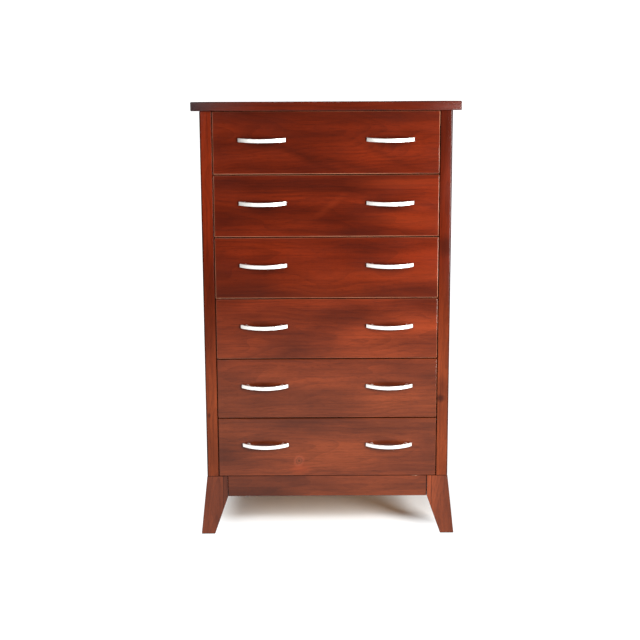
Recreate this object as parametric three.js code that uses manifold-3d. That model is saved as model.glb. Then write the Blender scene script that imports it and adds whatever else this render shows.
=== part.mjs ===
// Tall chest of drawers: a solid-wood carcass on a base frame with four splayed legs, and six equal
// drawers that slide on dust panels, each with two bow pulls.
// Millimetres, +Z up, front towards -Y. The origin is on the floor, under the middle of the overall box.
import * as THREE from "three";
import { mergeVertices } from "three/addons/utils/BufferGeometryUtils.js";
import Module from "manifold-3d";

// ---- driving dimensions ----

// Overall sizes
const height = 1200;
const carcassWidth = 672;
const carcassDepth = 430;
const baseHeight = 170; // floor to the underside of the carcass
const drawerCount = 6;

// Clearances
const fit = 0.3; // between pieces that are glued, pinned or screwed together
const runGap = 0.5; // under a drawer, where it slides on its dust panel
const frontGap = 2.4; // between one drawer front and the next
const frontSideGap = 2; // beside a drawer front
const boxSideGap = 3; // beside a drawer box
const headroom = 10; // above a drawer box

// Top
const topThickness = 24;
const topOverhangSide = 21;
const topOverhangFront = 18;
const topEasing = 2; // chamfer round the top's upper and lower edges

// Carcass boards
const sideThickness = 32;
const panelThickness = 15; // dust panels and bottom panel
const panelHousing = 8; // how far a panel enters each side
const backThickness = 6;
const backRabbet = 10; // how far the back panel enters each side

// Base frame
const legTopWidth = 57;
const legFootWidth = 38;
const legSplay = 19.5; // how far the foot stands outside the carcass
const legDepth = 45;
const apronHeight = 60;
const apronThickness = 20;
const apronRecess = 4; // behind the legs' outer faces
const tenonLength = 18;
const tenonThickness = 9;
const tenonShoulder = 8; // above and below a tenon
const legEasing = 1.5; // chamfer round a leg's front and rear faces

// Drawers
const frontThickness = 20;
const frontLip = 12; // what is left of the front where a side is housed in it
const frontEasing = 1.2; // chamfer round the face of a drawer front
const boxSideThickness = 12;
const boxBackThickness = 12;
const boxBackHousing = 4; // how far the back enters each side
const boxBackInset = 10; // from the rear end of the sides to the back
const boxBackDrop = 8; // from the top of the sides down to the top of the back
const boxRearGap = 14; // from the rear end of the sides to the back panel
const boxBottomThickness = 5;
const boxBottomRise = 8; // from the lower edge of the sides up to the bottom
const bottomGroove = 6; // depth of the groove that holds the bottom

// Bow pulls
const pullOffset = 171; // from the middle of the front to the middle of a pull
const pullRise = 7; // above the middle of the front
const pullLength = 125; // between the ends of the strap's centre line
const pullHoleSpacing = 96;
const pullBow = 21.5; // how far the middle of the strap stands out from its ends
const pullEndGap = 1.5; // between the strap's ends and the front
const pullDroop = THREE.MathUtils.degToRad(6.5); // the strap leans down as it stands out
const strapThickness = 4;
const strapHeight = 10;
const postRadius = 4.5;
const screwRadius = 2;
const screwHoleClearance = 0.3;
const screwHeadRadius = 4.2;
const screwHeadHeight = 2.6;

// How the solids are made
const overshoot = 1; // how far a cut runs past the face it opens, or a joined piece into its neighbour
const weldDistance = 1e-3; // vertices nearer than this become one
const roundSides = 12; // sides of the posts, screws and holes
const strapSegments = 16; // straight lengths along the bent strap

// ---- sizes worked out from them ----

const topUnderside = height - topThickness;
const pitch = (topUnderside - baseHeight) / drawerCount; // from one drawer to the next
const openingHalf = carcassWidth / 2 - sideThickness;
const sideHalf = carcassWidth / 2;
const panelFront = frontThickness + fit;
const panelRear = carcassDepth - backThickness - fit;

const frontHalf = openingHalf - frontSideGap;
const frontHeight = pitch - frontGap;
const boxHalf = openingHalf - boxSideGap;
const boxInnerHalf = boxHalf - boxSideThickness;
const boxFloor = fit + panelThickness + runGap; // lower edge of the box above the drawer's pitch line
const boxTop = pitch - headroom;
const boxRear = carcassDepth - backThickness - boxRearGap;
const boxBottomFloor = boxFloor + boxBottomRise;
const boxBackRear = boxRear - boxBackInset;
const pullHeight = frontGap / 2 + frontHeight / 2 + pullRise;

const strapHalf = pullLength / 2;
const strapRadius = (strapHalf ** 2 + pullBow ** 2) / (2 * pullBow); // arc through both ends and the middle
const strapEndStand = pullEndGap + strapThickness / 2; // from the front to the ends of the centre line
const pullProjection =
  strapEndStand +
  (pullBow + strapThickness / 2) * Math.cos(pullDroop) +
  (strapHeight / 2) * Math.sin(pullDroop);
const overallDepth = Math.max(pullProjection, topOverhangFront) + carcassDepth;

// ---- materials ----

const mahogany = new THREE.MeshStandardMaterial({ color: 0x74291a, roughness: 0.35, metalness: 0 });
const paleWood = new THREE.MeshStandardMaterial({ color: 0xc79a63, roughness: 0.6, metalness: 0 });
const plywood = new THREE.MeshStandardMaterial({ color: 0xb98a58, roughness: 0.65, metalness: 0 });
const satinNickel = new THREE.MeshStandardMaterial({ color: 0xd9d8d4, roughness: 0.3, metalness: 1 });

// ---- solid modelling helpers ----

const wasm = await Module();
wasm.setup();

// A closed three.js geometry as a solid.
function solidOf(geometry) {
  const bare = geometry.clone();
  bare.deleteAttribute("normal");
  bare.deleteAttribute("uv");
  const merged = mergeVertices(bare, weldDistance);
  return new wasm.Manifold(
    new wasm.Mesh({
      numProp: 3,
      vertProperties: merged.attributes.position.array,
      triVerts: new Uint32Array(merged.index.array),
    }),
  );
}

// A solid as a three.js geometry.
function geometryOf(solid) {
  const mesh = solid.getMesh();
  const geometry = new THREE.BufferGeometry();
  geometry.setAttribute("position", new THREE.BufferAttribute(mesh.vertProperties, 3));
  geometry.setIndex(new THREE.BufferAttribute(mesh.triVerts, 1));
  geometry.computeVertexNormals();
  return geometry;
}

// The first geometry with the others joined on.
function joined(first, ...others) {
  return geometryOf(others.reduce((solid, other) => solid.add(solidOf(other)), solidOf(first)));
}

// The first geometry with the others cut away.
function carved(first, ...cutters) {
  return geometryOf(cutters.reduce((solid, cutter) => solid.subtract(solidOf(cutter)), solidOf(first)));
}

// A block between two limits along each axis.
function block([x0, x1], [y0, y1], [z0, z1]) {
  return new THREE.BoxGeometry(x1 - x0, y1 - y0, z1 - z0).translate(
    (x0 + x1) / 2,
    (y0 + y1) / 2,
    (z0 + z1) / 2,
  );
}

// A round bar along Y between two limits.
function barAlongY(radius, x, [y0, y1], z) {
  return new THREE.CylinderGeometry(radius, radius, y1 - y0, roundSides).translate(x, (y0 + y1) / 2, z);
}

// A flat outline in x and y, extruded up from z = 0. The easing chamfers the edges round both ends.
function extruded(points, depth, easing) {
  const outline = new THREE.Shape(points.map(([x, y]) => new THREE.Vector2(x, y)));
  return new THREE.ExtrudeGeometry(outline, {
    depth: depth - 2 * easing,
    bevelSegments: 1,
    bevelThickness: easing,
    bevelSize: easing,
    bevelOffset: -easing,
  }).translate(0, 0, easing);
}

// The same with the outline in x and z, extruded back from y = 0.
function extrudedBack(points, depth, easing) {
  return extruded(points, depth, easing).rotateX(Math.PI / 2).translate(0, depth, 0);
}

// The corners of a rectangle between two limits along each of its sides.
function rectangle([u0, u1], [v0, v1]) {
  return [
    [u0, v0],
    [u1, v0],
    [u1, v1],
    [u0, v1],
  ];
}

// Limits in rising order, for a span that is mirrored or reversed.
function span(a, b) {
  return [Math.min(a, b), Math.max(a, b)];
}

function piece(name, geometry, material) {
  const mesh = new THREE.Mesh(geometry, material);
  mesh.name = name;
  return mesh;
}

// ---- carcass ----

function topPanel() {
  const half = sideHalf + topOverhangSide;
  const outline = rectangle([-half, half], [-topOverhangFront, carcassDepth]);
  const geometry = extruded(outline, topThickness, topEasing).translate(0, 0, topUnderside);
  return piece("top_panel", geometry, mahogany);
}

// One side: a thick board with a housing for each panel and a rabbet for the back. hand is -1 for left.
function sidePanel(name, hand) {
  const across = (a, b) => span(hand * a, hand * b);
  const body = block(
    across(openingHalf, sideHalf),
    [0, carcassDepth],
    [baseHeight + fit, topUnderside - fit],
  );
  const housings = Array.from({ length: drawerCount }, (_, level) => {
    const low = baseHeight + level * pitch + fit;
    return block(
      across(openingHalf - overshoot, openingHalf + panelHousing),
      [panelFront - fit, carcassDepth - backThickness],
      [low - fit, low + panelThickness + fit],
    );
  });
  const rabbet = block(
    across(openingHalf - overshoot, openingHalf + backRabbet),
    [carcassDepth - backThickness - fit, carcassDepth + overshoot],
    [baseHeight, topUnderside],
  );
  return piece(name, carved(body, ...housings, rabbet), mahogany);
}

// A horizontal panel between the sides. level 0 is the bottom panel.
function levelPanel(name, level, material) {
  const half = openingHalf + panelHousing - fit;
  const low = baseHeight + level * pitch + fit;
  const geometry = block([-half, half], [panelFront, panelRear], [low, low + panelThickness]);
  return piece(name, geometry, material);
}

function backPanel() {
  const half = openingHalf + backRabbet - fit;
  const geometry = block(
    [-half, half],
    [carcassDepth - backThickness, carcassDepth],
    [baseHeight + fit, topUnderside - fit],
  );
  return piece("back_panel", geometry, plywood);
}

// ---- base frame ----

const apronLow = baseHeight - apronHeight;
const tenonLimits = [apronLow + tenonShoulder, baseHeight - tenonShoulder];
const tenonInset = (apronThickness - tenonThickness) / 2;
const legInner = sideHalf - legTopWidth;

// Limits of the mortise or tenon across an apron whose outer face is at a given place.
function tenonAcross(outerFace, inwards, extra) {
  const near = outerFace + inwards * (tenonInset - extra);
  const far = outerFace + inwards * (tenonInset + tenonThickness + extra);
  return span(near, far);
}

// A leg: straight and tapered, splayed to its own side, with a mortise for each of its two aprons.
function leg(name, hand, rear) {
  const outline = [
    [hand * legInner, baseHeight],
    [hand * legInner, apronLow],
    [hand * (sideHalf + legSplay - legFootWidth), 0],
    [hand * (sideHalf + legSplay), 0],
    [hand * sideHalf, baseHeight],
  ];
  const body = extrudedBack(outline, legDepth, legEasing);
  if (rear) body.translate(0, carcassDepth - legDepth, 0);
  const outerY = rear ? carcassDepth - apronRecess : apronRecess;
  const crossMortise = block(
    span(hand * (legInner - overshoot), hand * (legInner + tenonLength)),
    tenonAcross(outerY, rear ? -1 : 1, fit),
    [tenonLimits[0] - fit, tenonLimits[1] + fit],
  );
  const innerY = rear ? carcassDepth - legDepth : legDepth;
  const inwards = rear ? 1 : -1; // into the leg
  const sideMortise = block(
    tenonAcross(hand * (sideHalf - apronRecess), -hand, fit),
    span(innerY - inwards * overshoot, innerY + inwards * tenonLength),
    [tenonLimits[0] - fit, tenonLimits[1] + fit],
  );
  return piece(name, carved(body, crossMortise, sideMortise), mahogany);
}

// The front or rear apron, with a tenon at each end.
function crossApron(name, rear) {
  const outerY = rear ? carcassDepth - apronRecess : apronRecess;
  const inwards = rear ? -1 : 1;
  const half = legInner - fit;
  const thickness = span(outerY, outerY + inwards * apronThickness);
  const body = block([-half, half], thickness, [apronLow, baseHeight]);
  const tongue = half + tenonLength - fit;
  const tenons = block([-tongue, tongue], tenonAcross(outerY, inwards, 0), tenonLimits);
  return piece(name, joined(body, tenons), mahogany);
}

// The apron between the legs of one side, with a tenon at each end.
function sideApron(name, hand) {
  const outerX = hand * (sideHalf - apronRecess);
  const ends = [legDepth + fit, carcassDepth - legDepth - fit];
  const thickness = span(outerX, outerX - hand * apronThickness);
  const body = block(thickness, ends, [apronLow, baseHeight]);
  const tongue = [ends[0] - tenonLength + fit, ends[1] + tenonLength - fit];
  const tenons = block(tenonAcross(outerX, -hand, 0), tongue, tenonLimits);
  return piece(name, joined(body, tenons), mahogany);
}

// ---- drawers: z is measured from the drawer's own pitch line, y from its face ----

const pullScrewPlaces = [-1, 1].flatMap((hand) =>
  [-1, 1].map((end) => hand * pullOffset + (end * pullHoleSpacing) / 2),
);

function drawerFront(name) {
  const outline = rectangle([-frontHalf, frontHalf], [frontGap / 2, frontGap / 2 + frontHeight]);
  const body = extrudedBack(outline, frontThickness, frontEasing);
  const rabbets = [-1, 1].map((hand) =>
    block(
      span(hand * (boxInnerHalf - fit), hand * (frontHalf + overshoot)),
      [frontLip, frontThickness + overshoot],
      [0, pitch],
    ),
  );
  const groove = block(
    [-boxInnerHalf, boxInnerHalf],
    [frontThickness - bottomGroove, frontThickness + overshoot],
    [boxBottomFloor - fit, boxBottomFloor + boxBottomThickness + fit],
  );
  const holes = pullScrewPlaces.map((x) =>
    barAlongY(screwRadius + screwHoleClearance, x, [-overshoot, frontThickness + overshoot], pullHeight),
  );
  return piece(name, carved(body, ...rabbets, groove, ...holes), mahogany);
}

function drawerSide(name, hand) {
  const across = (a, b) => span(hand * a, hand * b);
  const body = block(across(boxInnerHalf, boxHalf), [frontLip + fit, boxRear], [boxFloor, boxTop]);
  const groove = block(
    across(boxInnerHalf - overshoot, boxInnerHalf + bottomGroove),
    [0, boxRear + overshoot],
    [boxBottomFloor - fit, boxBottomFloor + boxBottomThickness + fit],
  );
  const backHousing = block(
    across(boxInnerHalf - overshoot, boxInnerHalf + boxBackHousing),
    [boxBackRear - boxBackThickness - fit, boxBackRear + fit],
    [boxBottomFloor, boxTop + overshoot],
  );
  return piece(name, carved(body, groove, backHousing), paleWood);
}

function drawerBack(name) {
  const half = boxInnerHalf + boxBackHousing - fit;
  const geometry = block(
    [-half, half],
    [boxBackRear - boxBackThickness, boxBackRear],
    [boxBottomFloor + boxBottomThickness + fit, boxTop - boxBackDrop],
  );
  return piece(name, geometry, paleWood);
}

function drawerBottom(name) {
  const half = boxInnerHalf + bottomGroove - fit;
  const geometry = block(
    [-half, half],
    [frontThickness - bottomGroove + fit, boxBackRear],
    [boxBottomFloor, boxBottomFloor + boxBottomThickness],
  );
  return piece(name, geometry, plywood);
}

// The strap of a pull: a flat band bent to an arc in plan, which leans down as it stands out.
function pullStrap() {
  const centreY = strapRadius - pullBow; // the arc's centre is behind the strap's ends
  const reach = Math.asin(strapHalf / strapRadius);
  const [from, to] = [-Math.PI / 2 - reach, -Math.PI / 2 + reach];
  const band = new THREE.Shape();
  band.absarc(0, centreY, strapRadius + strapThickness / 2, from, to, false);
  band.absarc(0, centreY, strapRadius - strapThickness / 2, to, from, true);
  const options = { depth: strapHeight, bevelEnabled: false, curveSegments: strapSegments };
  return new THREE.ExtrudeGeometry(band, options)
    .translate(0, 0, -strapHeight / 2)
    .rotateX(pullDroop)
    .translate(0, -strapEndStand, 0);
}

// A bow pull in one casting, with the two screws that hold it through the drawer front.
function pull(name, hand) {
  const holeHalf = pullHoleSpacing / 2;
  const standAtPost = Math.sqrt(strapRadius ** 2 - holeHalf ** 2) - (strapRadius - pullBow);
  const dropAtPost = standAtPost * Math.sin(pullDroop);
  const parts = [-holeHalf, holeHalf].flatMap((x) => [
    barAlongY(postRadius, x, [-strapEndStand - standAtPost * Math.cos(pullDroop), -fit], 0),
    barAlongY(screwRadius, x, [-fit - overshoot, frontThickness + fit + overshoot], 0),
    barAlongY(screwHeadRadius, x, [frontThickness + fit, frontThickness + fit + screwHeadHeight], 0),
  ]);
  const strap = pullStrap().translate(0, 0, dropAtPost); // so that the posts meet the strap's middle
  const mesh = piece(name, joined(strap, ...parts), satinNickel);
  mesh.position.set(hand * pullOffset, 0, pullHeight);
  return mesh;
}

function drawer(number) {
  const name = `drawer_${number}`;
  const group = new THREE.Group();
  group.add(
    drawerFront(`${name}_front`),
    drawerSide(`${name}_left_side`, -1),
    drawerSide(`${name}_right_side`, 1),
    drawerBack(`${name}_back`),
    drawerBottom(`${name}_bottom`),
    pull(`${name}_left_pull`, -1),
    pull(`${name}_right_pull`, 1),
  );
  group.position.z = topUnderside - number * pitch;
  return group;
}

// ---- the whole chest ----

const chest = new THREE.Group();
chest.position.y = overallDepth / 2 - carcassDepth;
chest.add(topPanel(), sidePanel("left_side_panel", -1), sidePanel("right_side_panel", 1), backPanel());
chest.add(levelPanel("bottom_panel", 0, paleWood));
for (let number = 1; number < drawerCount; number += 1) {
  chest.add(levelPanel(`dust_panel_${number}`, drawerCount - number, paleWood));
}
chest.add(
  leg("front_left_leg", -1, false),
  leg("front_right_leg", 1, false),
  leg("rear_left_leg", -1, true),
  leg("rear_right_leg", 1, true),
  crossApron("front_apron", false),
  crossApron("rear_apron", true),
  sideApron("left_apron", -1),
  sideApron("right_apron", 1),
);
for (let number = 1; number <= drawerCount; number += 1) {
  chest.add(drawer(number));
}

export default chest;
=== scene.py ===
import math
import random

import bpy
from mathutils import Euler, Matrix, Vector


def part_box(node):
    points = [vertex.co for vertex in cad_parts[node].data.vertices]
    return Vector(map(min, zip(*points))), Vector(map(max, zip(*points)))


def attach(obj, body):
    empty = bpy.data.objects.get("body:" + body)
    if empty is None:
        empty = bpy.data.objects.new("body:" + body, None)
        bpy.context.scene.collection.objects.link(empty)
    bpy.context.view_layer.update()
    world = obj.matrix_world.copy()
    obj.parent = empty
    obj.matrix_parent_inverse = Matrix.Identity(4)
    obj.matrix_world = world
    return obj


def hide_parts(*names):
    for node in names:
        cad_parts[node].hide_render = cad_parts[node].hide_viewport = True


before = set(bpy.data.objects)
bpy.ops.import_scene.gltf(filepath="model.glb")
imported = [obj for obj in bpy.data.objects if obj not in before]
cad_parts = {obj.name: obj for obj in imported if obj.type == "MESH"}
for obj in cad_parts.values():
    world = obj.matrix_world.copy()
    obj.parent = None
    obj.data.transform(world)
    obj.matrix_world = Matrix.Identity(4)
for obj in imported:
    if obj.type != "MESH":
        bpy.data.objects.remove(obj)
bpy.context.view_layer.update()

# Tall chest of drawers: the carcass, the base and the drawers are modelled board by board around the frame.
# Sizes in the dictionaries are millimetres and degrees, places come from the frame's own nodes.

mm = 0.001
randomDraw = random.Random(11)

alongX, alongY, alongZ = Vector((1, 0, 0)), Vector((0, 1, 0)), Vector((0, 0, 1))


def deselectAll():
    bpy.ops.object.select_all(action="DESELECT")


def makeActive(piece):
    deselectAll()
    piece.select_set(True)
    bpy.context.view_layer.objects.active = piece


def finishPlace(piece):
    makeActive(piece)
    bpy.ops.object.transform_apply(location=True, rotation=True, scale=True)


def addBlock(name, low, high):
    # a cube at its size and place, with the place in its mesh
    deselectAll()
    middle = (Vector(low) + Vector(high)) / 2
    bpy.ops.mesh.primitive_cube_add(size=1, location=middle, scale=Vector(high) - Vector(low))
    piece = bpy.context.object
    piece.name = name
    finishPlace(piece)
    return piece


def addRod(name, radius, start, end, sides):
    # a round bar along Y from start to end
    deselectAll()
    start, end = Vector(start), Vector(end)
    bpy.ops.mesh.primitive_cylinder_add(vertices=sides, radius=radius, depth=(end - start).length,
                                        location=(start + end) / 2, rotation=(math.radians(90), 0, 0))
    piece = bpy.context.object
    piece.name = name
    finishPlace(piece)
    return piece


def applyModifier(piece, kind, **settings):
    makeActive(piece)
    bpy.ops.object.modifier_add(type=kind)
    modifier = piece.modifiers[-1]
    for key, value in settings.items():
        setattr(modifier, key, value)
    bpy.ops.object.modifier_apply(modifier=modifier.name)


def roundEdges(piece, width, segments=3, sharper=25):
    # rounds every edge that is sharper than so many degrees; the flat faces keep their own normals
    makeActive(piece)
    bpy.ops.object.shade_smooth()
    applyModifier(piece, "BEVEL", width=width, segments=segments, limit_method="ANGLE",
                  angle_limit=math.radians(sharper), harden_normals=True)


def finishShading(piece, angle=40):
    # smooth over the rounded edges, sharp at the cut ones, and flat on the broad faces
    makeActive(piece)
    bpy.ops.object.shade_smooth_by_angle(angle=math.radians(angle))
    applyModifier(piece, "WEIGHTED_NORMAL", keep_sharp=True)


def combine(piece, other, operation):
    # joins the other shape to the piece, or cuts it away, and takes the other shape off the bench
    applyModifier(piece, "BOOLEAN", object=other, operation=operation, solver="EXACT")
    deselectAll()
    other.select_set(True)
    bpy.ops.object.delete()


def cutOut(piece, low, high):
    combine(piece, addBlock("cutter", low, high), "DIFFERENCE")


def editAll(piece, mode="FACE"):
    # into edit mode with everything selected
    makeActive(piece)
    bpy.ops.object.mode_set(mode="EDIT")
    bpy.ops.mesh.select_mode(type=mode)
    bpy.ops.mesh.select_all(action="SELECT")


def editPick(piece, mode, wanted):
    # into edit mode with a part selected: wanted takes a centre, and a face's normal or an edge's direction
    editAll(piece, mode)
    bpy.ops.mesh.select_all(action="DESELECT")
    bpy.ops.object.mode_set(mode="OBJECT")
    mesh = piece.data
    if mode == "FACE":
        for face in mesh.polygons:
            face.select = wanted(face.center, face.normal)
    elif mode == "EDGE":
        for edge in mesh.edges:
            ends = [mesh.vertices[i].co for i in edge.vertices]
            edge.select = wanted((ends[0] + ends[1]) / 2, (ends[1] - ends[0]).normalized())
    else:
        for vertex in mesh.vertices:
            vertex.select = wanted(vertex.co, None)
    bpy.ops.object.mode_set(mode="EDIT")


def editDone():
    bpy.ops.object.mode_set(mode="OBJECT")


def bevelPicked(piece, mode, wanted, width, segments):
    editPick(piece, mode, wanted)
    bpy.ops.mesh.bevel(offset=width * mm, segments=segments, affect="EDGES")
    editDone()


def moveCorners(piece, wanted, step):
    editPick(piece, "VERT", wanted)
    bpy.ops.transform.translate(value=step)
    editDone()


def scaleCorners(piece, wanted, scale, middle):
    editPick(piece, "VERT", wanted)
    bpy.ops.transform.resize(value=scale, center_override=middle)
    editDone()


def bisectPiece(piece, place, normal, **keep):
    editAll(piece)
    bpy.ops.mesh.bisect(plane_co=place, plane_no=normal, **keep)
    editDone()


def closeSeams(piece):
    # merges corners that lie on each other, and turns the faces outwards
    editAll(piece)
    bpy.ops.mesh.remove_doubles(threshold=1e-6)
    bpy.ops.mesh.normals_make_consistent(inside=False)
    editDone()


def copyPiece(piece, name, offset=(0, 0, 0)):
    deselectAll()
    copy = piece.copy()
    copy.data = piece.data.copy()
    copy.name = name
    bpy.context.scene.collection.objects.link(copy)
    copy.location = offset
    finishPlace(copy)
    return copy


def mirrorPiece(piece, name):
    # a copy mirrored left to right
    copy = copyPiece(piece, name)
    copy.scale = (-1, 1, 1)
    finishPlace(copy)
    closeSeams(copy)
    return copy


def joinAll(pieces, name):
    makeActive(pieces[0])
    for piece in pieces[1:]:
        piece.select_set(True)
    bpy.ops.object.join()
    pieces[0].name = name
    return pieces[0]


broadFace = 4 * mm  # a face whose shortest side is longer than this isn't part of a rounded edge


def markArris(piece):
    # arris is 1 in the middle of each rounded edge and 0 on the broad faces, so wear, painted highlight and
    # painted shade can follow the edges
    mesh = piece.data
    touched = [False] * len(mesh.vertices)
    for face in mesh.polygons:
        corners = [mesh.vertices[i].co for i in face.vertices]
        if min((corners[i] - corners[i - 1]).length for i in range(len(corners))) > broadFace:
            for i in face.vertices:
                touched[i] = True
    layer = mesh.attributes.new("arris", "FLOAT", "POINT")
    layer.data.foreach_set("value", [0.0 if t else 1.0 for t in touched])


def takeAway(*pieces):
    # the models that the copies were made from
    deselectAll()
    for piece in pieces:
        piece.select_set(True)
    bpy.ops.object.delete()


def setMaterial(piece, material):
    piece.data.materials.clear()
    piece.data.materials.append(material)


def hand(piece, body, slot, *nodes):
    # what every finished piece says to the frame
    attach(piece, body)
    if nodes:
        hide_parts(*nodes)


def linear(hexColour, tone=1.0):
    values = [int(hexColour[i:i + 2], 16) / 255 for i in (1, 3, 5)]
    return tuple(tone * (v / 12.92 if v <= 0.04045 else ((v + 0.055) / 1.055) ** 2.4) for v in values) + (1,)


def addNode(tree, kind, inputs=None, **settings):
    node = tree.nodes.new(kind)
    for key, value in settings.items():
        setattr(node, key, value)
    for key, value in (inputs or {}).items():
        if isinstance(value, bpy.types.NodeSocket):
            tree.links.new(value, node.inputs[key])
        else:
            node.inputs[key].default_value = value
    return node


def newMaterial(name):
    material = bpy.data.materials.new(name)
    material.use_nodes = True
    tree = material.node_tree
    tree.nodes.clear()
    shader = addNode(tree, "ShaderNodeBsdfPrincipled")
    addNode(tree, "ShaderNodeOutputMaterial", {"Surface": shader.outputs[0]})
    return material, tree, shader


def boardSpace(tree, middle, along, across):
    # Object coordinates in mm, centred on the board, with X along the grain, Y across it and Z through it
    turn = Matrix((along, across, along.cross(across))).transposed().to_euler()
    place = addNode(tree, "ShaderNodeTexCoord").outputs["Object"]
    return addNode(tree, "ShaderNodeMapping", {"Vector": place, "Location": middle, "Rotation": turn,
                                               "Scale": (mm, mm, mm)}, vector_type="TEXTURE").outputs[0]


def stretched(tree, space, sizes, offset, detail=2.0, roughness=0.5):
    # noise whose patches are about as long, wide and deep as the sizes, in mm
    scaled = addNode(tree, "ShaderNodeMapping", {"Vector": space, "Location": offset,
                                                 "Scale": [1 / s for s in sizes]}).outputs[0]
    return addNode(tree, "ShaderNodeTexNoise", {"Vector": scaled, "Scale": 1.0, "Detail": detail,
                                                "Roughness": roughness})


def addLayers(tree, colour, *layers):
    # lays tints over a colour: each share grows from none to full as its source goes from low to high
    for source, low, high, share, tint in layers:
        mask = addNode(tree, "ShaderNodeMapRange", {"Value": source, 1: low, 2: high, 4: share}).outputs[0]
        colour = addNode(tree, "ShaderNodeMix", {0: mask, 6: colour, 7: tint}, data_type="RGBA").outputs[2]
    return colour


spotEdge = {"grain": 2.2, "ragged": 0.7, "reach": 1.35}  # the noise that frays the border of every spot


def addSpot(tree, spot, soft, share, tint):
    # a layer inside an ellipse on a front face; spot is its middle, half sizes and turn, in mm and degrees
    x, z, wide, high, turn = spot
    place = addNode(tree, "ShaderNodeTexCoord").outputs["Object"]
    apart = addNode(tree, "ShaderNodeMapping", {
        "Vector": place, "Location": (x * mm, 0, z * mm), "Rotation": (0, math.radians(turn), 0),
        "Scale": (wide * mm, 1000, high * mm)}, vector_type="TEXTURE").outputs[0]
    frayed = addNode(tree, "ShaderNodeTexNoise", {"Vector": apart, "Scale": spotEdge["grain"], "Detail": 2.0})
    away = addNode(tree, "ShaderNodeVectorMath", {0: apart}, operation="LENGTH").outputs["Value"]
    away = addNode(tree, "ShaderNodeMath", {0: frayed.outputs["Fac"], 1: spotEdge["ragged"], 2: away},
                   operation="MULTIPLY_ADD").outputs[0]
    return away, spotEdge["reach"] + soft, spotEdge["reach"] - soft, share, tint


def growthRings(tree, space, offset, log, look):
    # rings around the heart of the log, which wanders along the board
    heart = addNode(tree, "ShaderNodeMapping", {
        "Vector": space, "Location": (0, log[0], -log[1]),
        "Rotation": (0, math.radians(log[2]), math.radians(log[2] * look["skew"]))},
        vector_type="TEXTURE").outputs[0]
    wander = stretched(tree, space, look["wander"], offset, detail=1.0).outputs["Color"]
    for operation, by in (("SUBTRACT", look["wanderMiddle"]), ("MULTIPLY", look["wanderReach"])):
        wander = addNode(tree, "ShaderNodeVectorMath", {0: wander, 1: by}, operation=operation).outputs[0]
    heart = addNode(tree, "ShaderNodeVectorMath", {0: heart, 1: wander}).outputs[0]
    return addNode(tree, "ShaderNodeTexWave", {
        "Vector": heart, "Scale": 2 * math.pi / 20 / look["ringSpacing"]},
        wave_type="RINGS", rings_direction="X", wave_profile="SAW").outputs["Fac"]


def finishSurface(tree, shader, colour, uneven, smooth, rough, height, strength, depth):
    # the colour, a roughness between two values, and a relief so many mm deep
    roughness = addNode(tree, "ShaderNodeMapRange", {"Value": uneven, 1: 0.3, 2: 0.7, 3: smooth, 4: rough})
    relief = addNode(tree, "ShaderNodeBump", {"Height": height, "Strength": strength, "Distance": depth * mm})
    tree.links.new(colour, shader.inputs["Base Color"])
    tree.links.new(roughness.outputs[0], shader.inputs["Roughness"])
    tree.links.new(relief.outputs[0], shader.inputs["Normal"])


stainedLook = {
    "deep": "#4d1507",        # where the stain sits thickest
    "warm": "#74240c",        # where the wood shows through it
    "deepLow": "#4d1f0c", "warmLow": "#753418",  # the same, browner towards the floor: painted light of the white floor, its reflection and bounce
    "floorLightFrom": 780, "floorLightFull": 380,         # heights between which the painted light of the floor turns the colour browner
    "streakColour": "#260a05",
    "wearAndHighlightColour": "#b5795a",  # pale arris on the fronts: rubbed bare wood with a painted highlight
    # patches of each pattern: long, wide, deep; the dashes are open pores, larger than real so that they show
    "mottle": (330, 75, 75), "streak": (380, 6, 6), "dash": (60, 2.0, 2.0), "pore": (16, 0.8, 0.8),
    "wearLightAndShadePatch": (160, 40, 40), "sheenPatch": (120, 40, 40),
    # the value at which a pattern begins to show, the one at which it shows fully, and its share
    "mottleShows": (0.34, 0.66, 1.0), "streakShows": (0.5, 0.72, 0.3), "ringShows": (0.35, 1.0, 0.2),
    "dashShows": (0.62, 0.72, 0.3), "poreShows": (0.56, 0.68, 0.35),
    "ringSpacing": 7.0, "skew": 0.6,
    "wander": (190, 60, 60), "wanderMiddle": (0.5, 0.5, 0.5), "wanderReach": (0, 30, 30),
    "lacquerRoughness": 0.12,
}


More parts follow.
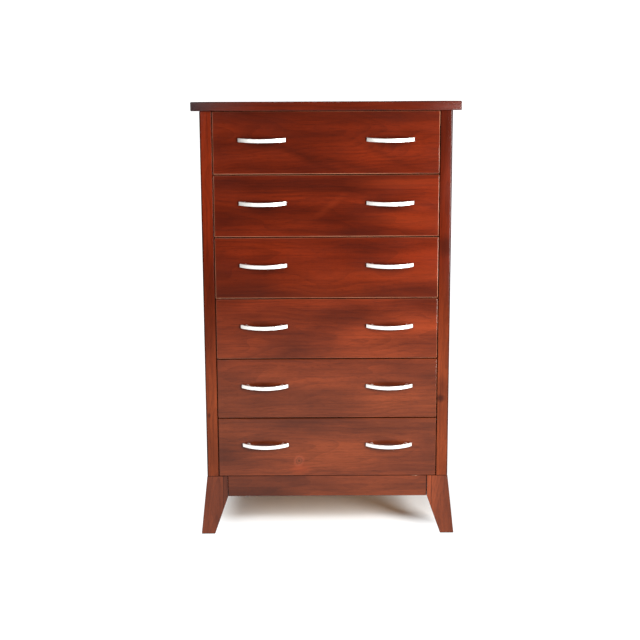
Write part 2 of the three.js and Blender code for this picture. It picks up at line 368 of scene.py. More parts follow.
def stainedWood(name, middle, along, across, log, tone, worn, toneLow=None, wearLightAndShadeAbove=1.0, edgeColour=None,
                gloss=0.16, extra=None):
    # Mahogany, flat sawn, stained red-brown and lacquered semi-gloss. The eye gets long soft grain with a few
    # arching growth rings, fine dark pores, thick stain in the hollows, and pale arrises, rubbed with a painted
    # highlight.
    # log is the heart's offset across the board, its depth behind the face, and its tilt; toneLow is the tone
    # towards the floor, with the floor's light painted in; the last share is that of the arris mark on arrises
    # that face up; an edgeColour paints the arrises dark, as painted shade.
    look = stainedLook
    material, tree, shader = newMaterial(name)
    space = boardSpace(tree, middle, along, across)
    offset = [randomDraw.uniform(-50, 50) for i in range(3)]
    rings = growthRings(tree, space, offset, log, look)
    mottle = stretched(tree, space, look["mottle"], offset, detail=3.0).outputs["Fac"]
    streak = stretched(tree, space, look["streak"], offset, detail=3.0, roughness=0.6).outputs["Fac"]
    dash = stretched(tree, space, look["dash"], offset, detail=1.0).outputs["Fac"]
    pore = stretched(tree, space, look["pore"], offset, detail=1.0).outputs["Fac"]

    place = addNode(tree, "ShaderNodeTexCoord").outputs["Object"]
    height = addNode(tree, "ShaderNodeSeparateXYZ", {0: place}).outputs["Z"]
    # painted light of the white floor: towards the floor the colour turns browner and takes the low tone
    deep, warm = [addLayers(tree, linear(look[shade], tone),
                            (height, look["floorLightFrom"] * mm, look["floorLightFull"] * mm, 1.0,
                             linear(look[shade + "Low"], toneLow or tone))) for shade in ("deep", "warm")]
    dark = linear(look["streakColour"])
    colour = addLayers(tree, deep, (mottle, *look["mottleShows"], warm), (streak, *look["streakShows"], dark),
                       (rings, *look["ringShows"], dark), (dash, *look["dashShows"], dark),
                       (pore, *look["poreShows"], dark))
    if extra:
        colour = extra(tree, space, colour)

    # the arris mark: pale, for rubbed wear with a painted highlight; dark, for painted shade, where an edge
    # colour is given
    wearLightAndShadeMask = addNode(tree, "ShaderNodeAttribute", attribute_name="arris").outputs["Fac"]
    patches = stretched(tree, space, look["wearLightAndShadePatch"], offset).outputs["Fac"]
    normal = addNode(tree, "ShaderNodeNewGeometry").outputs["Normal"]
    upward = addNode(tree, "ShaderNodeSeparateXYZ", {0: normal}).outputs["Z"]
    for source, low, high, first, last in ((patches, 0.3, 0.6, 0.35 * worn, worn),
                                           (upward, 0.1, 0.5, 1.0, wearLightAndShadeAbove)):
        share = addNode(tree, "ShaderNodeMapRange", {"Value": source, 1: low, 2: high, 3: first, 4: last})
        wearLightAndShadeMask = addNode(tree, "ShaderNodeMath", {0: wearLightAndShadeMask, 1: share.outputs[0]}, operation="MULTIPLY").outputs[0]
    colour = addLayers(tree, colour, (wearLightAndShadeMask, 0, 1, 1.0, linear(edgeColour or look["wearAndHighlightColour"])))

    sheen = stretched(tree, space, look["sheenPatch"], offset).outputs["Fac"]
    pits = addNode(tree, "ShaderNodeMapRange", {
        "Value": pore, 1: look["poreShows"][0], 2: look["poreShows"][1], 4: -1.0}).outputs[0]
    relief = addNode(tree, "ShaderNodeMath", {0: streak, 1: -0.6, 2: pits}, operation="MULTIPLY_ADD").outputs[0]
    finishSurface(tree, shader, colour, sheen, 0.17, 0.24, relief, 0.5, 0.03)
    shader.inputs["IOR"].default_value = 1.5
    shader.inputs["Specular IOR Level"].default_value = gloss
    shader.inputs["Coat Weight"].default_value = 0.1
    shader.inputs["Coat Roughness"].default_value = look["lacquerRoughness"]
    return material


bareLook = {
    "pale": "#d2a772", "brown": "#b07f4d", "poreColour": "#7c5530",
    "streak": (420, 9, 9), "pore": (18, 0.9, 0.9),
    "streakShows": (0.35, 0.65, 1.0), "ringShows": (0.4, 1.0, 0.45), "poreShows": (0.57, 0.68, 0.4),
    "ringSpacing": 5.0, "skew": 0.5,
    "wander": (240, 50, 50), "wanderMiddle": (0, 0, 0), "wanderReach": (0, 16, 16),
    "brushPatch": (30, 12, 12), "brushReach": 14, "brushFade": 4,  # the ragged end of the stain
}


def bareWood(name, middle, along, across, log, stainTo=None):
    # Sawn and sanded softwood, without finish: pale, dry and matt, with plain straight grain.
    # stainTo is the place in Y behind which the stain brushed over the front edge ends.
    look = bareLook
    material, tree, shader = newMaterial(name)
    space = boardSpace(tree, middle, along, across)
    offset = [randomDraw.uniform(-50, 50) for i in range(3)]
    rings = growthRings(tree, space, offset, log, look)
    streak = stretched(tree, space, look["streak"], offset, detail=3.0).outputs["Fac"]
    pore = stretched(tree, space, look["pore"], offset, detail=1.0).outputs["Fac"]
    brown = linear(look["brown"])
    colour = addLayers(tree, linear(look["pale"]), (streak, *look["streakShows"], brown),
                       (rings, *look["ringShows"], brown),
                       (pore, *look["poreShows"], linear(look["poreColour"])))
    if stainTo is not None:
        place = addNode(tree, "ShaderNodeTexCoord").outputs["Object"]
        back = addNode(tree, "ShaderNodeSeparateXYZ", {0: place}).outputs["Y"]
        brushed = stretched(tree, space, look["brushPatch"], offset).outputs["Fac"]
        edge = addNode(tree, "ShaderNodeMath", {0: brushed, 1: look["brushReach"] * mm, 2: back},
                       operation="MULTIPLY_ADD").outputs[0]
        colour = addLayers(tree, colour, (edge, stainTo + look["brushFade"] * mm, stainTo, 1.0,
                                          linear(stainedLook["deep"])))
    pits = addNode(tree, "ShaderNodeMapRange", {
        "Value": pore, 1: look["poreShows"][0], 2: look["poreShows"][1], 4: -1.0}).outputs[0]
    finishSurface(tree, shader, colour, streak, 0.55, 0.7, pits, 0.5, 0.15)
    return material


plyLook = {
    "pale": "#c79a66", "late": "#a97a48", "streakColour": "#8f6238", "glueColour": "#6d4826",
    "warp": (420, 110, 110), "streak": (260, 5, 5),
    "bands": 9.0, "thickness": 1.7,  # how many times the figure repeats, and the thickness of one ply
    "bandShows": (0.2, 1.0, 0.6), "streakShows": (0.5, 0.7, 0.4), "glueShows": (0.3, 0.0, 0.35),
}


def plywood(name, middle, along, across):
    # Thin veneered plywood: broad rotary-cut figure on the faces, and glue lines between the plies.
    look = plyLook
    material, tree, shader = newMaterial(name)
    space = boardSpace(tree, middle, along, across)
    offset = [randomDraw.uniform(-50, 50) for i in range(3)]
    warp = stretched(tree, space, look["warp"], offset).outputs["Fac"]
    bands = addNode(tree, "ShaderNodeMath", {0: warp, 1: look["bands"]}, operation="MULTIPLY").outputs[0]
    bands = addNode(tree, "ShaderNodeMath", {0: bands}, operation="FRACT").outputs[0]
    streak = stretched(tree, space, look["streak"], offset, detail=3.0).outputs["Fac"]
    through = addNode(tree, "ShaderNodeSeparateXYZ", {0: space}).outputs["Z"]
    ply = addNode(tree, "ShaderNodeMath", {0: through, 1: look["thickness"]}, operation="PINGPONG").outputs[0]
    colour = addLayers(tree, linear(look["pale"]), (bands, *look["bandShows"], linear(look["late"])),
                       (streak, *look["streakShows"], linear(look["streakColour"])),
                       (ply, *look["glueShows"], linear(look["glueColour"])))
    finishSurface(tree, shader, colour, streak, 0.5, 0.65, streak, 0.3, 0.1)
    return material


def satinMetal(name, colour, roughness, brushSize):
    # Plated metal: bright and soft, with faint brushing along its length and smears of handling.
    material, tree, shader = newMaterial(name)
    place = addNode(tree, "ShaderNodeTexCoord").outputs["Object"]
    space = addNode(tree, "ShaderNodeMapping", {"Vector": place, "Scale": (mm, mm, mm)},
                    vector_type="TEXTURE").outputs[0]
    brush = stretched(tree, space, brushSize, (0, 0, 0)).outputs["Fac"]
    smear = stretched(tree, space, (22, 9, 9), (3, 7, 1)).outputs["Fac"]
    base = addLayers(tree, linear(colour), (brush, 0.3, 0.7, 1.0, linear("#f8f7f3")))
    fine, broad = [
        addNode(tree, "ShaderNodeMapRange", {"Value": source, 1: 0.3, 2: 0.7, 3: low, 4: high}).outputs[0]
        for source, low, high in ((brush, -0.04, 0.04), (smear, roughness - 0.04, roughness + 0.05))]
    rough = addNode(tree, "ShaderNodeMath", {0: fine, 1: broad}, operation="ADD")
    relief = addNode(tree, "ShaderNodeBump", {"Height": brush, "Strength": 0.12, "Distance": 0.05 * mm})
    tree.links.new(base, shader.inputs["Base Color"])
    tree.links.new(rough.outputs[0], shader.inputs["Roughness"])
    tree.links.new(relief.outputs[0], shader.inputs["Normal"])
    shader.inputs["Metallic"].default_value = 1.0
    return material


cameraView = {
    "lens": 66.3, "place": (-18.6, -3363.3, 1203.0),  # mm, level with the top
    "down": 10.56, "roll": -0.27,
}


def addCamera():
    data = bpy.data.cameras.new("camera")
    data.lens = cameraView["lens"]
    data.sensor_width = 36
    camera = bpy.data.objects.new("camera", data)
    bpy.context.scene.collection.objects.link(camera)
    camera.location = Vector(cameraView["place"]) * mm
    turn = Euler((math.radians(90 - cameraView["down"]), 0, 0)).to_matrix()
    roll = Matrix.Rotation(math.radians(cameraView["roll"]), 3, "Z")
    camera.rotation_euler = (turn @ roll).to_euler()
    bpy.context.scene.camera = camera


studio = {
    # places, aims and sizes in mm, power in watts
    "keySoftbox": {"place": (1180, -1500, 830), "aim": (50, -200, 330), "size": (600, 800), "power": 68},
    "fillSoftbox": {"place": (-1300, -2450, 1800), "aim": (0, -200, 350), "size": (1300, 1300), "power": 34},
    "topSoftbox": {"place": (0, -50, 1900), "aim": (0, -40, 1200), "size": (500, 250), "power": 10},
    "skyForCamera": 1.2, "skyForObjects": 0.1,
    "floorColour": "#f6f6f4", "floorRadius": 4200,
    # how bright the lacquer mirrors the floor and how far, and how much light the floor throws back
    "floorInGloss": 1.6, "glossNear": 2000, "glossFar": 4100, "floorBounce": 1.25,
    # shadows show on the floor inside this patch, and past its soft border the floor is blown out to white
    "patchMiddle": (15, 380, 0), "patchHalf": (265, 400, 1), "patchBorder": 150,
}


def addSoftbox(name):
    box = studio[name]
    deselectAll()
    place, aim = Vector(box["place"]) * mm, Vector(box["aim"]) * mm
    bpy.ops.object.light_add(type="AREA", location=place)
    light = bpy.context.object
    light.name = name
    light.data.shape = "RECTANGLE"
    light.data.size, light.data.size_y = box["size"][0] * mm, box["size"][1] * mm
    light.data.energy = box["power"]
    light.rotation_euler = (place - aim).to_track_quat("Z", "Y").to_euler()


def addStudio():
    for name in ("keySoftbox", "fillSoftbox", "topSoftbox"):
        addSoftbox(name)
    world = bpy.data.worlds.new("studioWorld")
    bpy.context.scene.world = world
    world.use_nodes = True
    tree = world.node_tree
    tree.nodes.clear()
    seen = addNode(tree, "ShaderNodeLightPath").outputs["Is Camera Ray"]
    strength = addNode(tree, "ShaderNodeMapRange", {
        "Value": seen, 3: studio["skyForObjects"], 4: studio["skyForCamera"]}).outputs[0]
    sky = addNode(tree, "ShaderNodeBackground", {"Color": (1, 1, 1, 1), "Strength": strength})
    addNode(tree, "ShaderNodeOutputWorld", {"Surface": sky.outputs[0]})
    deselectAll()
    bpy.ops.mesh.primitive_circle_add(vertices=96, radius=studio["floorRadius"] * mm, fill_type="NGON")
    floor = bpy.context.object
    floor.name = "studioFloor"
    material, tree, shader = newMaterial("white painted floor")  # matt white paint, slightly uneven
    place = addNode(tree, "ShaderNodeTexCoord").outputs["Object"]
    uneven = addNode(tree, "ShaderNodeTexNoise", {"Vector": place, "Scale": 3.0}).outputs["Fac"]
    roughness = addNode(tree, "ShaderNodeMapRange", {"Value": uneven, 3: 0.75, 4: 0.85}).outputs[0]
    tree.links.new(roughness, shader.inputs["Roughness"])
    shader.inputs["Base Color"].default_value = linear(studio["floorColour"])
    away = addNode(tree, "ShaderNodeMapping", {"Vector": place, "Location": Vector(studio["patchMiddle"]) * mm,
                                               "Scale": (mm, mm, mm)}, vector_type="TEXTURE").outputs[0]
    for operation, by in (("ABSOLUTE", (0, 0, 0)), ("SUBTRACT", studio["patchHalf"]), ("MAXIMUM", (0, 0, 0))):
        away = addNode(tree, "ShaderNodeVectorMath", {0: away, 1: by}, operation=operation).outputs[0]
    past = addNode(tree, "ShaderNodeVectorMath", {0: away}, operation="LENGTH").outputs["Value"]
    blown = addNode(tree, "ShaderNodeMapRange", {"Value": past, 2: studio["patchBorder"]},
                    interpolation_type="SMOOTHSTEP").outputs[0]
    far = addNode(tree, "ShaderNodeVectorMath", {0: place}, operation="LENGTH").outputs["Value"]
    mirrored = addNode(tree, "ShaderNodeMapRange", {
        "Value": far, 1: studio["glossNear"] * mm, 2: studio["glossFar"] * mm,
        3: studio["floorInGloss"], 4: studio["skyForObjects"]}).outputs[0]
    seen = addNode(tree, "ShaderNodeLightPath")
    surface = shader.outputs[0]
    for ray, strength in (("Is Camera Ray", studio["skyForCamera"]), ("Is Glossy Ray", mirrored),
                          ("Is Diffuse Ray", studio["floorBounce"])):
        glow = addNode(tree, "ShaderNodeEmission", {"Color": (1, 1, 1, 1), "Strength": strength}).outputs[0]
        share = addNode(tree, "ShaderNodeMath", {0: blown, 1: seen.outputs[ray]}, operation="MULTIPLY")
        surface = addNode(tree, "ShaderNodeMixShader", {0: share.outputs[0], 1: surface, 2: glow}).outputs[0]
    tree.links.new(surface, tree.nodes["Material Output"].inputs["Surface"])
    setMaterial(floor, material)
    bpy.context.scene.view_settings.view_transform = "Standard"


addCamera()
addStudio()
print("camera and studio are up")


topBoard = {
    "cornerRadius": 2.5, "arris": 2.6,
    "tone": 0.62, "worn": 0.45, "log": (60, 150, 1.2),
    "shadedEdge": "#1d0907",              # painted shade: its edges are painted dark, for the dark they reflect; and it is darker towards its left end
    "darkFrom": 4, "darkEnd": 70, "endShare": 0.8, "endColour": "#1c0c10",  # and soaks into its left end
}


# the top is darker towards its left end
def topLeftEndDarkening(tree, space, colour):
    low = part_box("top_panel")[0]
    place = addNode(tree, "ShaderNodeTexCoord").outputs["Object"]
    apart = addNode(tree, "ShaderNodeSeparateXYZ", {0: place}).outputs["X"]
    return addLayers(tree, colour, (apart, low.x + topBoard["darkEnd"] * mm, low.x + topBoard["darkFrom"] * mm,
                                    topBoard["endShare"], linear(topBoard["endColour"])))


def makeTop():
    low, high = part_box("top_panel")
    piece = addBlock("topBoard", low, high)
    bevelPicked(piece, "EDGE", lambda place, way: abs(way.z) > 0.9, topBoard["cornerRadius"], 4)
    roundEdges(piece, topBoard["arris"] * mm)
    markArris(piece)
    setMaterial(piece, stainedWood("stained mahogany, top", (low + high) / 2, alongX, alongY, topBoard["log"],
                                   topBoard["tone"], topBoard["worn"], edgeColour=topBoard["shadedEdge"],
                                   extra=topLeftEndDarkening))
    hand(piece, "carcass", "red_brown_stained_wood", "top_panel")


makeTop()
print("top is done")


sideFrame = {
    "stileWidth": 56, "topRail": 66, "bottomRail": 84,  # widths of the frame's boards
    "panelRecess": 7, "panelTongue": 6,  # panel behind the frame's outer face, and into its grooves
    "arris": 1.2, "cornerRound": 4.5, "rabbetPlay": 0.3,
    # painted shade: the frame's rounded edges are painted dark, for the dark they reflect
    "shadedEdge": "#1a0806",
    "stileTone": {"leftSide": (0.92, 1.15), "rightSide": (0.6, 1.15)},  # of the front stiles, high and low; the brighter low tone is painted light from the floor
}

stileFigure = {
    # knots and dark figure in the two front stiles: middle, half width and half height in mm, turn, share
    "leftSide": [(-327, 346, 4, 6, 0, 0.6)],
    "rightSide": [(322, 815, 26, 24, 20, 0.6), (313, 392, 11, 9, 0, 0.75), (320, 425, 12, 26, 0, 0.3)],
}


def stileSpots(sideName):
    def extra(tree, space, colour):
        dark = linear(stainedLook["streakColour"])
        return addLayers(tree, colour, *[addSpot(tree, spot, 0.5, share, dark)
                                         for *spot, share in stileFigure[sideName]])
    return extra


def makeSide(sideName, node, outward):
    low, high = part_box(node)
    size = sideFrame
    stile, arris = size["stileWidth"] * mm, size["arris"] * mm
    outer, inner = (high.x, low.x) if outward > 0 else (low.x, high.x)
    topLow, bottomHigh = high.z - size["topRail"] * mm, low.z + size["bottomRail"] * mm

    def board(part, y0, y1, z0, z1, along, across, face=outer, worn=0.5, tones=(1.0, 1.0),
              log=(20, 80, 1.0), gloss=0.16, extra=None):
        x0, x1 = sorted((face, inner))
        piece = addBlock(sideName + part, (x0, y0, z0), (x1, y1, z1))
        if part == "FrontStile":
            bevelPicked(piece, "EDGE", lambda place, way: abs(way.z) > 0.9 and place.y < y0 + 1 * mm
                        and abs(place.x - outer) < 1 * mm, size["cornerRound"], 5)
        roundEdges(piece, arris)
        markArris(piece)
        if part == "RearStile":
            backLow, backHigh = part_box("back_panel")
            room = size["rabbetPlay"] * mm  # the back lies in a rabbet of this stile, with this much play
            cutOut(piece, (backLow.x - room, backLow.y - room, backLow.z - 5 * mm),
                   (backHigh.x + room, backHigh.y + 5 * mm, backHigh.z + 5 * mm))
            finishShading(piece)
        middle = Vector(((x0 + x1) / 2, (y0 + y1) / 2, (z0 + z1) / 2))
        setMaterial(piece, stainedWood("stained mahogany, " + sideName + part, middle, along, across, log,
                                       tones[0], worn, toneLow=tones[1], edgeColour=size["shadedEdge"],
                                       gloss=gloss, extra=extra))
        hand(piece, "carcass", "red_brown_stained_wood", node)

    board("FrontStile", low.y, low.y + stile, low.z, high.z, alongZ, alongX, worn=0.7, log=(15, 60, 0.7),
          tones=size["stileTone"][sideName], gloss=0.06, extra=stileSpots(sideName))
    board("RearStile", high.y - stile, high.y, low.z, high.z, alongZ, alongX)
    board("TopRail", low.y + stile, high.y - stile, topLow, high.z, alongY, alongZ)
    board("BottomRail", low.y + stile, high.y - stile, low.z, bottomHigh, alongY, alongZ)
    tongue = size["panelTongue"] * mm
    board("Panel", low.y + stile - tongue, high.y - stile + tongue, bottomHigh - tongue, topLow + tongue,
          alongZ, alongY, face=outer - outward * size["panelRecess"] * mm, log=(50, 110, 1.4))


makeSide("leftSide", "left_side_panel", -1)
makeSide("rightSide", "right_side_panel", 1)
print("sides are done")


legShape = {
    "arris": 1.6, "footArris": 3.0, "stripArris": 0.5,
    "glueStrip": 12.7,  # width of the strip glued to the leg's inner side
    # painted shade: the rounded edges of the legs and aprons are painted dark, for the dark they reflect
    "log": (10, 50, 4.0), "worn": 1.4, "shadedEdge": "#1a0806",
}


near = 1 * mm  # corners this close to a place are taken to stand on it


def makeLeg(name, node, outward, stripTone):
    low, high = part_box(node)
    inner = low.x if outward > 0 else high.x
    outerFoot = high.x if outward > 0 else low.x
    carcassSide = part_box("right_side_panel" if outward > 0 else "left_side_panel")
    outerTop = carcassSide[1].x if outward > 0 else carcassSide[0].x
    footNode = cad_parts[node].data.vertices
    footInner = min((v.co.x for v in footNode if v.co.z < near), key=abs)
    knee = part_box("front_apron")[0].z  # the inner face starts to slope at the aprons' lower edge
    x0, x1 = sorted((inner, outerTop))
    leg = addBlock(name, (x0, low.y, 0), (x1, high.y, high.z))
    bisectPiece(leg, (0, 0, knee), (0, 0, 1))
    # the foot's two sides go out to where the splay and the taper put them
    for side, foot in ((inner, footInner), (outerTop, outerFoot)):
        moveCorners(leg, lambda place, way: place.z < near and abs(place.x - side) < near, (foot - side, 0, 0))
    share = (high.z - knee) / high.z
    moveCorners(leg, lambda place, way: abs(place.z - knee) < near and abs(place.x - outerTop) < near,
                ((outerFoot - outerTop) * share, 0, 0))
    cut = inner + outward * legShape["glueStrip"] * mm
    strip = copyPiece(leg, name + "Strip")
    bisectPiece(strip, (cut, 0, 0), (outward, 0, 0), use_fill=True, clear_outer=True)
    bisectPiece(leg, (cut, 0, 0), (outward, 0, 0), use_fill=True, clear_inner=True)
    for piece, tone in ((leg, 1.0), (strip, stripTone)):
        bevelPicked(piece, "EDGE", lambda place, way: place.z < near, legShape["footArris"], 3)
        roundEdges(piece, legShape["arris" if piece == leg else "stripArris"] * mm)
        editAll(piece, "VERT")
        bpy.ops.mesh.remove_doubles(threshold=0.01 * mm)
        editDone()
        markArris(piece)
        setMaterial(piece, stainedWood("stained mahogany, " + piece.name, (low + high) / 2, alongZ, alongX,
                                       legShape["log"], tone, legShape["worn"],
                                       edgeColour=legShape["shadedEdge"]))
        hand(piece, "carcass", "red_brown_stained_wood", node)


makeLeg("frontLeftLeg", "front_left_leg", -1, 0.7)
makeLeg("frontRightLeg", "front_right_leg", 1, 1.5)
makeLeg("rearLeftLeg", "rear_left_leg", -1, 0.8)
makeLeg("rearRightLeg", "rear_right_leg", 1, 1.2)


apronShape = {
    "arris": 1.4, "shoulderPlay": 0.3,
    "log": (10, 60, 0.8), "tone": 0.78, "worn": 1.4,
    "chip": (246, 169.5, 13, 1.1, 0),  # a pale ragged patch on the front apron's upper arris
    "palePatchColour": "#c9ab90", "palePatchGrain": (4, 1.5, 1.5),
}


def apronPalePatch(tree, space, colour):
    patchNoise = stretched(tree, space, apronShape["palePatchGrain"], (1, 2, 3)).outputs["Fac"]
    # the pale patch's colour, made ragged by the noise
    bare = addLayers(tree, colour, (patchNoise, 0.45, 0.55, 1.0, linear(apronShape["palePatchColour"])))
    return addLayers(tree, colour, addSpot(tree, apronShape["chip"], 0.3, 1.0, bare))


def makeApron(name, node, along):
    low, high = [corner.copy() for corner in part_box(node)]
    legHigh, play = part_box("front_left_leg")[1], apronShape["shoulderPlay"] * mm
    # the shoulders stand against the legs; the tenons are hidden in them
    if along == alongX:
        high.x = abs(legHigh.x) - play
        low.x = -high.x
    else:
        low.y, high.y = legHigh.y + play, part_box("rear_left_leg")[0].y - play
    piece = addBlock(name, low, high)
    roundEdges(piece, apronShape["arris"] * mm)
    markArris(piece)
    setMaterial(piece, stainedWood("stained mahogany, " + name, (low + high) / 2, along, alongZ,
                                   apronShape["log"], apronShape["tone"], apronShape["worn"],
                                   edgeColour=legShape["shadedEdge"],
                                   extra=apronPalePatch if name == "frontApron" else None))
    hand(piece, "carcass", "red_brown_stained_wood", node)


makeApron("frontApron", "front_apron", alongX)
makeApron("rearApron", "rear_apron", alongX)
makeApron("leftApron", "left_apron", alongY)
makeApron("rightApron", "right_apron", alongY)
print("base is done")


def nodeMiddle(node):
    low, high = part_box(node)
    return (low + high) / 2


insideBoard = {"log": (40, 120, 0.8), "stainTo": 40}  # the stain ends this far behind the front edge, in mm


def dressCarcassInside():
    for node in ["bottom_panel"] + ["dust_panel_%d" % i for i in range(1, 6)]:
        low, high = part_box(node)
        setMaterial(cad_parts[node], bareWood(
            "bare wood, " + node.replace("_", " "), (low + high) / 2, alongX, alongY, insideBoard["log"],
            low.y + insideBoard["stainTo"] * mm))


backFixing = {
    "edge": 5, "sideScrews": 7, "dustScrewSpan": 240,  # screws along both edges, and two into each dust panel
    "sheetArris": 0.6, "sinkRadius": 4.1, "sinkSmall": 1.6, "sinkDepth": 2.7, "cutAbove": 0.2,
    "headRadius": 3.7, "headSmall": 1.7, "headDepth": 2.2, "sunk": 0.15,
    "slotLength": 4.2, "slotWidth": 0.9, "slotDepth": 1.4,
}


def addCone(name, place, big, small, depth):
    # a cone with its big end at the place, facing back
    deselectAll()
    bpy.ops.mesh.primitive_cone_add(vertices=24, radius1=big, radius2=small, depth=depth,
                                    location=(place.x, place.y - depth / 2, place.z),
                                    rotation=(math.radians(90), 0, 0))
    piece = bpy.context.object
    piece.name = name
    finishPlace(piece)
    return piece


def cutCross(screw, x, top, z, size):
    # a cross recess in a screw's head
    long, wide = size["slotLength"] / 2 * mm, size["slotWidth"] / 2 * mm
    for reachX, reachZ in ((long, wide), (wide, long)):
        cutOut(screw, (x - reachX, top - size["slotDepth"] * mm, z - reachZ),
               (x + reachX, top + 1 * mm, z + reachZ))


def makeBack():
    size = backFixing
    low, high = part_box("back_panel")
    sheet = addBlock("backSheet", low, high)
    roundEdges(sheet, size["sheetArris"] * mm, segments=2)
    edge, count = size["edge"] * mm, size["sideScrews"]
    rise = (high.z - low.z - 8 * edge) / (count - 1)
    places = [Vector((x, high.y, low.z + 4 * edge + i * rise)) for x in (low.x + edge, high.x - edge)
              for i in range(count)]
    places += [Vector((side * size["dustScrewSpan"] / 2 * mm, high.y, nodeMiddle("dust_panel_%d" % i).z))
               for side in (-1, 1) for i in range(1, 6)]
    sinks = [addCone("sink", place + Vector((0, size["cutAbove"] * mm, 0)), size["sinkRadius"] * mm,
                     size["sinkSmall"] * mm, size["sinkDepth"] * mm) for place in places]
    combine(sheet, joinAll(sinks, "sinks"), "DIFFERENCE")
    finishShading(sheet)
    setMaterial(sheet, plywood("plywood, back", nodeMiddle("back_panel"), alongZ, alongX))
    hand(sheet, "carcass", "drawer_bottom_plywood", "back_panel")

    first = places[0] - Vector((0, size["sunk"] * mm, 0))
    screw = addCone("backScrew", first, size["headRadius"] * mm, size["headSmall"] * mm,
                    size["headDepth"] * mm)
    cutCross(screw, first.x, first.y, first.z, size)
    finishShading(screw, 35)
    screws = [screw] + [copyPiece(screw, "backScrew", place - places[0]) for place in places[1:]]
    backScrews = joinAll(screws, "backScrews")
    setMaterial(backScrews, satinMetal("zinc plated steel, back screws", "#b4b6b8", 0.34, (2, 0.6, 2)))
    hand(backScrews, "carcass", "satin_nickel_metal", "back_panel")


dressCarcassInside()
makeBack()
print("carcass inside and back are done")


drawerFront = {
    # painted shade: the fronts' edges, which face the gaps between the drawers, are painted nearly black
    "arris": 1.9, "gapShadeColour": "#190805", "gapShadeShare": 0.82, "wearLightAndShadeAbove": 0.3,
    # how each front was cut: heart's offset, its depth and its tilt; then its tone and the share of its pale
    # arrises, rubbed wear with a painted highlight
    "logs": [(35, 70, 3.4), (-50, 110, 1.2), (15, 140, 0.9), (-20, 90, 1.6), (45, 120, 1.0), (-10, 80, 2.2)],
    "tones": [0.76, 0.82, 0.8, 1.0, 0.95, 0.94],
    "wearAndHighlightShare": [0.8, 0.8, 0.7, 0.3, 0.15, 0.05],
}

boxJoint = {
    "tails": 4, "halfPin": 6, "pin": 9, "flare": 1.2,  # half-blind dovetails at the front corners
    "play": 0.1,                                       # all round each tail
    "groovePlay": 0.3, "sidePlay": 0.3,
}

boxShape = {"topRound": 2.5, "arris": 0.45, "backHousing": 4, "groove": 6}


def tailPlaces(low, high):
    # the bottom and top of each tail at its root
    joint = boxJoint
    width = ((high.z - low.z) / mm - 2 * joint["halfPin"] - (joint["tails"] - 1) * joint["pin"]) / joint["tails"]
    roots = [low.z + (joint["halfPin"] + i * (width + joint["pin"])) * mm for i in range(joint["tails"])]
    return [(root, root + width * mm) for root in roots]


def flareTail(piece, wanted, root, top, grow):
    # widens the end of a tail about its own middle
    share = ((top - root) + 2 * grow) / (top - root)
    scaleCorners(piece, wanted, (1, 1, share), (0, 0, (root + top) / 2))


def makeDrawerFront():
    low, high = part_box("drawer_1_front")
    sideLow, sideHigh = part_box("drawer_1_right_side")
    bottomLow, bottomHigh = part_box("drawer_1_bottom")
    play, flare = boxJoint["play"] * mm, boxJoint["flare"] * mm
    sidePlay, past = boxJoint["sidePlay"] * mm, 5 * mm
    cheek, lip = sideLow.x - sidePlay, sideLow.y - sidePlay
    piece = addBlock("drawerFront", low, high)
    roundEdges(piece, drawerFront["arris"] * mm)
    markArris(piece)
    for outward in (-1, 1):
        x0, x1 = sorted((outward * cheek, outward * (high.x + past)))
        # a rabbet above and below the side, and a socket for each of its tails
        cutOut(piece, (x0, lip, low.z - past), (x1, high.y + past, sideLow.z))
        cutOut(piece, (x0, lip, sideHigh.z), (x1, high.y + past, high.z + past))
        for root, top in tailPlaces(sideLow, sideHigh):
            socket = addBlock("socket", (x0, lip, root - play), (x1, high.y + past, top + play))
            bisectPiece(socket, (0, high.y, 0), (0, 1, 0))
            flareTail(socket, lambda place, way: place.y < lip + 0.1 * mm, root, top, flare)
            combine(piece, socket, "DIFFERENCE")
    groovePlay = boxJoint["groovePlay"] * mm
    cutOut(piece, (-cheek - 1 * mm, bottomLow.y - groovePlay, bottomLow.z - groovePlay),
           (cheek + 1 * mm, high.y + past, bottomHigh.z + groovePlay))
    finishShading(piece)
    return piece


frontFigureAndShadow = {
    # clouds in the figure of each front, and one painted shadow: middle, half width and half height in mm, turn
    # in degrees, and the share of the dark streak, or of the lighter red where it is below zero
    # the long band along the top of the first front, (-60, 1163, 330, 13), is painted shadow of the top's
    # overhang
    1: [(-55, 1054, 75, 8, 23, 0.4), (60, 1034, 110, 7, 14, 0.3), (-60, 1163, 330, 13, 0, 0.5),
        (150, 1062, 70, 7, 25, 0.25)],
    2: [(-150, 985, 190, 20, 2, 0.4), (60, 968, 120, 9, 4, 0.25), (190, 985, 90, 10, 0, -0.15),
        (10, 925, 34, 7, -38, -0.08), (40, 856, 210, 7, 0, 0.3), (230, 885, 90, 14, 3, -0.12)],
    3: [(120, 815, 150, 14, 0, 0.2), (200, 740, 110, 14, 2, -0.1)],
    5: [(-180, 330, 120, 10, 0, 0.3)],
    6: [(-76, 192, 19, 10, 0, -0.2), (285, 260, 30, 45, 0, 0.35), (235, 185, 90, 10, 0, 0.3)],
    "lighter": "#a8401c",
}

knot = {
    # in the lowest front, with a reddish halo
    "x": -79, "z": 214, "wide": 8.5, "high": 10, "turn": 30, "rings": 2.2, "colour": "#38200c",
    "halo": 1.5, "haloShare": 0.3, "haloColour": "#9a4a30",
}

# painted shadow of each pull on its front: a dark ellipse around and below the pull; these ellipses are higher
# on the last three fronts
pullShadow = {"wide": 46, "high": 12, "drop": 9, "lowDrop": 3, "strength": 0.7}


